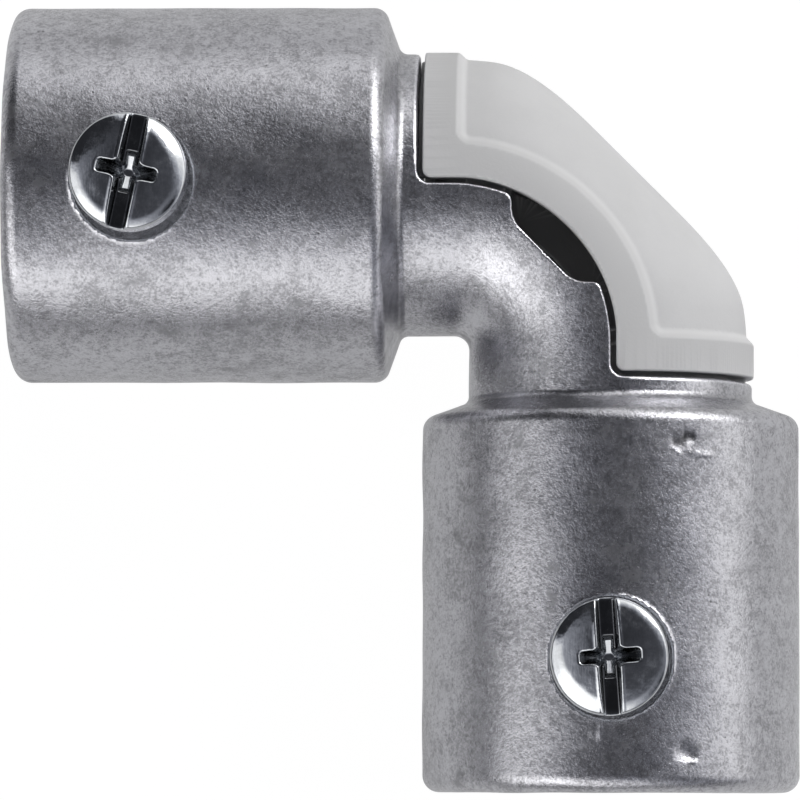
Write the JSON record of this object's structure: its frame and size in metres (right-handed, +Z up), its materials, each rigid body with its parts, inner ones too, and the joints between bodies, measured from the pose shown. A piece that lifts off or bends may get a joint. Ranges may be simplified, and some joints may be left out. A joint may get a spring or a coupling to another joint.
{
  "type": "curved conduit connector",
  "caption": "Right-angle die-cast connector that joins plain rigid conduits in clamp-screw sockets, with a press-in plastic inspection cover over the outer side of its bend.",
  "frame": {"origin": "centre of the part's footprint, on the surface that it lies on with its back down", "axes": "-X out of the side socket, -Y out of the lower socket, +Z up, the way the clamp screws face"},
  "size_m": [0.067, 0.067, 0.0394],
  "materials": {
    "cast_aluminium": "tumbled, grainy as-cast surface with darker patches and brighter worn edges",
    "cover_plastic": "matte light grey moulded plastic",
    "zinc_plated_steel": "bright zinc plating"
  },
  "bodies": {
    "elbow": {"elbow_body": "cast_aluminium"},
    "cover": {"inspection_cover": "cover_plastic"},
    "side_screw": {"side_clamp_screw": "zinc_plated_steel"},
    "lower_screw": {"lower_clamp_screw": "zinc_plated_steel"}
  },
  "joints": [
    {"name": "cover_pull", "type": "slide", "parent": "elbow", "child": "cover", "axis": [0.7071, 0.7071, 0], "range_m": [0, 0.03]},
    {"name": "side_screw_travel", "type": "slide", "parent": "elbow", "child": "side_screw", "axis": [0, 0, 1], "range_m": [-0.0047, 0.0012]},
    {"name": "lower_screw_travel", "type": "slide", "parent": "elbow", "child": "lower_screw", "axis": [0, 0, 1], "range_m": [-0.0047, 0.0012]}
  ]
}
